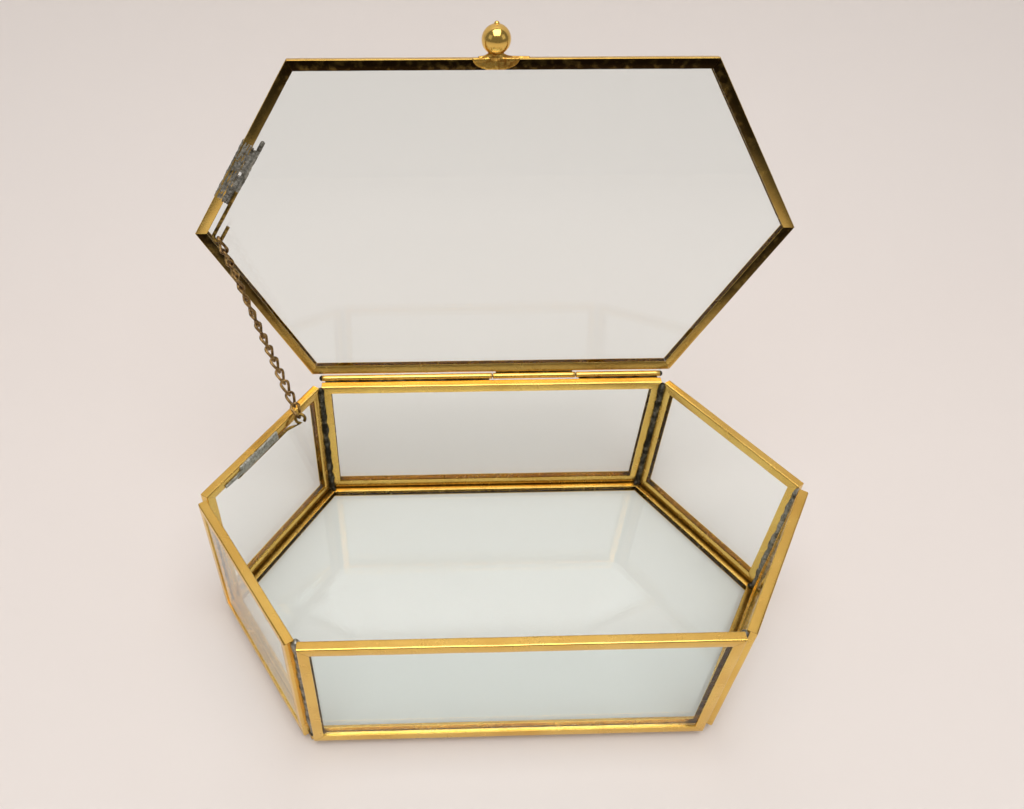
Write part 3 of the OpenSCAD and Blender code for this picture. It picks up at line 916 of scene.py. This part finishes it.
# ---------------------------------------------------------------- knob
class CASKETBOX_OT_knob(bpy.types.Operator):
    """Turns the knob with its nub and neck, and solders it to the lid's edge"""

    bl_idname = "casketbox.knob"
    bl_label = "Knob"

    def execute(self, context):
        foot = vec(-KNOB_LEFT, LID_FRONT, LID_UNDER + CAME_DEPTH / 2)
        out = BALL_GAP + BALL
        # Radius at each distance out from the lid's edge
        profile = [(0.0, 0.0), (0.0, NECK + 0.35), (0.25, NECK + 0.1), (0.5, NECK)]
        start = math.asin(NECK / BALL)
        for a in np.linspace(start, math.pi - 0.17, 30):
            profile.append((out - BALL * math.cos(a), BALL * math.sin(a)))
        tip = out + BALL - 0.2 * NUB
        for a in np.linspace(1.05, math.pi, 9):
            profile.append((tip - NUB * math.cos(a), NUB * math.sin(a)))
        around, points, faces = 56, [], []
        rings = [p for p in profile if p[1] > 0.01]
        for x, r in rings:
            for s in range(around):
                a = 2 * math.pi * s / around
                points.append(open_point(foot + vec(r * math.cos(a), -x, r * math.sin(a))))
        for j in range(len(rings) - 1):
            for s in range(around):
                t = (s + 1) % around
                faces.append((j * around + s, j * around + t, (j + 1) * around + t, (j + 1) * around + s))
        for ring, x in ((0, 0.0), (len(rings) - 1, tip + NUB)):
            points.append(open_point(foot - vec(0, x, 0)))
            centre = len(points) - 1
            for s in range(around):
                faces.append((ring * around + s, ring * around + (s + 1) % around, centre))
        mesh = mesh_from("knob", points, faces)
        mesh.uv_layers.new(name="run")
        soften(mesh, 50)
        place("lid_knob_turned", mesh, "lid", ["lid_knob"], [finish("knob")])
        drops = []
        for j in range(34):
            t = -4.4 + 13.4 * j / 33
            n = wander((t, 5.1, 0), 2.4, 8)
            reach = math.exp(-((t / 2.3) ** 2))
            size = (0.55 + 1.1 * reach) * (1 + 0.12 * n[0])
            y = 0.15 - 0.45 * reach
            drops.append((open_point(foot + vec(t, y, 0.5 * n[1] - 0.2)), size))
            if reach > 0.05:
                drops.append((open_point(foot + vec(t, 0.2, -1.0)), 0.5 + 0.25 * reach))
        # The brazing runs round the came's edge and out over its flange
        height = LID_UNDER + 0.2
        for inset in np.linspace(0.3, 2.6, 9):
            wide = 6.2 * math.sqrt(1 - (inset / 2.9) ** 2)
            for j in range(26):
                t = wide * (2 * j / 25 - 1)
                n = wander((t, inset * 2, 4), 2.0, 9)
                drops.append((open_point((foot[0] + t, LID_FRONT + inset, height)), 0.45 + 0.05 * n[1]))
        mesh = solder(drops, "foot", 33, 0.14, 0.14, 1.6)
        place("knob_solder_run", mesh, "lid", ["knob_solder"])
        return {"FINISHED"}


# ---------------------------------------------------------------- hook, eye and chain
def rounded(points, reach, steps=6):
    """The path with each of its bends drawn as an arc that starts reach before it."""
    path = [points[0]]
    for a, b, c in zip(points, points[1:], points[2:]):
        back, on = unit(a - b), unit(c - b)
        cut = min(reach, 0.48 * np.linalg.norm(a - b), 0.48 * np.linalg.norm(c - b))
        for t in np.linspace(0, 1, steps):
            path.append((1 - t) ** 2 * (b + back * cut) + 2 * t * (1 - t) * b + t * t * (b + on * cut))
    return path + [points[-1]]


class CASKETBOX_OT_hook_and_eye(bpy.types.Operator):
    """Bends the wire hook on the lid and the wire eye on the rim"""

    bl_idname = "casketbox.hook_and_eye"
    bl_label = "Hook and eye"

    def execute(self, context):
        arc = [
            BEND_CENTRE - HOOK_BEND * math.cos(a) * INTO_FRONT + HOOK_BEND * math.sin(a) * LEG_DIR
            for a in np.radians(np.arange(0, 181, 10))
        ]
        path = rounded([HOOK_HEEL + HOOK_ROOT * ALONG_FRONT, HOOK_HEEL, arc[0]], 1.4)[:-1] + arc
        path.append(BEND_CENTRE + HOOK_BEND * INTO_FRONT - HOOK_TIP * LEG_DIR)
        mesh = wire([open_point(p) for p in path], HOOK_WIRE, "wire")
        place("lid_hook_bent", mesh, "lid", ["lid_hook"])
        ring_dir = across(STEM_END - EYE_CENTRE, EYE_NORMAL)
        ring_side = np.cross(EYE_NORMAL, ring_dir)
        ring = [
            EYE_CENTRE + EYE_BEND * (math.cos(a) * ring_dir + math.sin(a) * ring_side)
            for a in np.radians(np.arange(60, -256, -9))
        ]
        path = rounded([STEM_END - EYE_STEM * ALONG_BACK, STEM_END, ring[0]], 1.0)[:-1] + ring
        mesh = wire(path, EYE_WIRE, "wire")
        place("rim_eye_bent", mesh, "box", ["rim_eye"])
        return {"FINISHED"}


class CASKETBOX_OT_chain(bpy.types.Operator):
    """Sweeps the twisted links of the stay chain, one for each moving body"""

    bl_idname = "casketbox.chain"
    bl_label = "Stay chain"

    def execute(self, context):
        bow = LINK_WIDTH / 2 - LINK_WIRE
        straight = HALF_LINK - bow
        bend = np.radians(np.arange(-90, 91, 12))
        oval = [(straight + bow * math.cos(a), bow * math.sin(a)) for a in bend]
        oval += [(straight * f, bow) for f in (0.66, 0.33, 0, -0.33, -0.66)]
        bend = np.radians(np.arange(90, 271, 12))
        oval += [(-straight + bow * math.cos(a), bow * math.sin(a)) for a in bend]
        oval += [(straight * f, -bow) for f in (-0.66, -0.33, 0, 0.33, 0.66)]
        path = []
        for x, y in oval:
            turned = -LINK_TWIST * x / HALF_LINK
            path.append(vec(x, y * math.cos(turned), y * math.sin(turned)))
        for k in range(LINKS):
            roll = CHAIN_ROLL * k / (LINKS - 1)
            y = math.cos(roll) * CHAIN_SIDE + math.sin(roll) * CHAIN_FLAT
            z = math.cos(roll) * CHAIN_FLAT - math.sin(roll) * CHAIN_SIDE
            turn = Matrix([CHAIN_LINE, y, z]).transposed().to_euler()
            at = CHAIN_FOOT + (HALF_LINK + k * PITCH) * CHAIN_LINE
            mesh = wire(path, LINK_WIRE, "chain", 14, True, at, tuple(turn))
            name = f"chain_link_{k + 1:02d}"
            place(name + "_curb", mesh, name, [name])
        return {"FINISHED"}


# ---------------------------------------------------------------- stage
def area_light(name, at, towards, size, power, colour):
    data = bpy.data.lights.new(name, "AREA")
    data.energy, data.color, data.size = power, linear(colour)[:3], size
    lamp = bpy.data.objects.new(name, data)
    bpy.context.scene.collection.objects.link(lamp)
    lamp.location = at
    lamp.rotation_euler = (Vector(towards) - Vector(at)).to_track_quat("-Z", "Y").to_euler()


class CASKETBOX_OT_stage(bpy.types.Operator):
    """Sets the pale sweep, the soft lights and the camera"""

    bl_idname = "casketbox.stage"
    bl_label = "Stage"

    def execute(self, context):
        scene = context.scene
        chosen = settings()
        # Camera, placed by the photograph's view of the box
        f_px, width = 846.66, 1024
        el, yaw, tilt = math.radians(43.38), math.radians(1.92), math.radians(0.42)
        ahead = vec(math.sin(yaw) * math.cos(el), math.cos(yaw) * math.cos(el), -math.sin(el))
        right = unit(np.cross(ahead, vec(0, 0, 1)))
        up = np.cross(right, ahead)
        r = right * math.cos(tilt) + up * math.sin(tilt)
        u = -right * math.sin(tilt) + up * math.cos(tilt)
        data = bpy.data.cameras.new("view")
        data.sensor_width = 36
        data.lens = f_px * 36 / width
        data.shift_x, data.shift_y = 79.49 / width, -11.02 / width
        data.clip_start, data.clip_end = 0.01, 20
        camera = bpy.data.objects.new("view", data)
        scene.collection.objects.link(camera)
        turn = Matrix([r, u, -ahead]).transposed()
        camera.matrix_world = Matrix.Translation(vec(-26.77, -158.55, 243.62) * MM) @ turn.to_4x4()
        scene.camera = camera
        # A paper sweep: flat under the box, then curved up behind it
        rise, radius, top, reach = chosen.sweep_start, 0.16, 1.2, 1.6
        line = [(-1.4, 0.0), (0.0, 0.0), (rise, 0.0)]
        for a in np.radians(np.arange(6, 91, 6)):
            line.append((rise + radius * math.sin(a), radius - radius * math.cos(a)))
        line.append((rise + radius, top))
        points = [(x, y, z - 0.00002) for y, z in line for x in (-reach, reach)]
        faces = [(2 * i, 2 * i + 1, 2 * i + 3, 2 * i + 2) for i in range(len(line) - 1)]
        mesh = bpy.data.meshes.new("paper_sweep")
        mesh.from_pydata(points, [], faces)
        mesh.shade_smooth()
        sweep = bpy.data.objects.new("paper_sweep", mesh)
        scene.collection.objects.link(sweep)
        made, tree, out = material("matt_paper")
        shader = add(
            tree,
            "ShaderNodeBsdfPrincipled",
            {"Roughness": 0.75, "Specular IOR Level": 0.25, "Base Color": list(chosen.paper)},
        )
        tree.links.new(shader.outputs[0], out.inputs[0])
        mesh.materials.append(made)
        world = bpy.data.worlds.new("soft_room")
        world.use_nodes = True
        tree = world.node_tree
        tree.nodes.clear()
        ground = add(tree, "ShaderNodeBackground", {"Color": linear("#f2efec"), "Strength": 0.26})
        tree.links.new(ground.outputs[0], add(tree, "ShaderNodeOutputWorld").inputs[0])
        scene.world = world
        area_light("top_softbox", (0.0, -0.28, 1.05), (0, -0.08, 0), 0.9, 9.4, "#fffdfb")
        area_light("left_softbox", (-1.0, -0.5, 0.7), (0, 0, 0.05), 0.6, 0.43, "#ffffff")
        area_light("right_softbox", (1.0, -0.5, 0.7), (0, 0, 0.05), 0.6, 0.6, "#ffffff")
        scene.view_settings.view_transform = "Standard"
        return {"FINISHED"}


# ---------------------------------------------------------------- settings and panel
def colour_property(label, text, code):
    return bpy.props.FloatVectorProperty(
        name=label, description=text, subtype="COLOR", size=4, min=0, max=1, default=linear(code)
    )


class CasketBoxSettings(bpy.types.PropertyGroup):
    fold_radius: bpy.props.FloatProperty(
        name="Fold radius",
        description="Outer radius of the folds of the brass channel",
        default=0.48 * MM,
        min=0.4 * MM,
        max=0.9 * MM,
        unit="LENGTH",
    )
    dent_depth: bpy.props.FloatProperty(
        name="Dent depth",
        description="How far the hand-folded cames wander from a true surface",
        default=0.07 * MM,
        min=0.0,
        max=0.1 * MM,
        unit="LENGTH",
    )
    sweep_start: bpy.props.FloatProperty(
        name="Sweep start",
        description="Distance behind the box's middle where the paper curves up",
        default=0.15,
        min=0.1,
        max=1.0,
        unit="LENGTH",
    )
    brass: colour_property("Brass", "Polished brass, the lighter of its two tones", "#ecc66c")
    brass_deep: colour_property("Deep brass", "Polished brass, the deeper of its two tones", "#dcae54")
    brass_tarnish: colour_property("Tarnish", "Brown spots on the polished brass", "#a87a34")
    # Brown-black used for painted reflection on the lid's underside and painted shade on the base came beside
    # the walls
    brass_painted_dark: colour_property("Dark brass", "Brown-black patina where the brass was never wiped", "#2a1c0c")
    brass_heat: colour_property("Heat tint", "Brass beside the soldered corners", "#8a5a22")
    # Inside colours: dull tarnished brass, painted darker as painted shade of the channel's recess
    inside: colour_property("Inside of the came", "Dull brass inside the channel", "#3d3418")
    inside_dark: colour_property("Dark inside of the came", "Darker patches inside the channel", "#1d190c")
    glass_tint: colour_property("Glass tint", "What one face of a pane lets through", "#fcffff")
    paper: colour_property("Paper", "The sweep that the box stands on", "#e6dfdb")


OPERATORS = (
    CASKETBOX_OT_panes,
    CASKETBOX_OT_cames,
    CASKETBOX_OT_solder,
    CASKETBOX_OT_hinge,
    CASKETBOX_OT_knob,
    CASKETBOX_OT_hook_and_eye,
    CASKETBOX_OT_chain,
    CASKETBOX_OT_stage,
)


class CASKETBOX_PT_panel(bpy.types.Panel):
    """Sizes, colours and one button for each group of pieces"""

    bl_label = "Casket Box"
    bl_idname = "CASKETBOX_PT_panel"
    bl_space_type = "VIEW_3D"
    bl_region_type = "UI"
    bl_category = "Casket Box"

    def draw(self, context):
        for name in CasketBoxSettings.__annotations__:
            self.layout.prop(context.scene.casket_box, name)
        for operator in OPERATORS:
            self.layout.operator(operator.bl_idname)


CLASSES = (CasketBoxSettings, *OPERATORS, CASKETBOX_PT_panel)


def register():
    for cls in CLASSES:
        bpy.utils.register_class(cls)
    bpy.types.Scene.casket_box = bpy.props.PointerProperty(type=CasketBoxSettings)


def unregister():
    del bpy.types.Scene.casket_box
    for cls in reversed(CLASSES):
        bpy.utils.unregister_class(cls)


def main():
    register()
    for operator in OPERATORS:
        group, name = operator.bl_idname.split(".")
        getattr(getattr(bpy.ops, group), name)()
    bpy.context.view_layer.update()


if __name__ == "__main__":
    main()
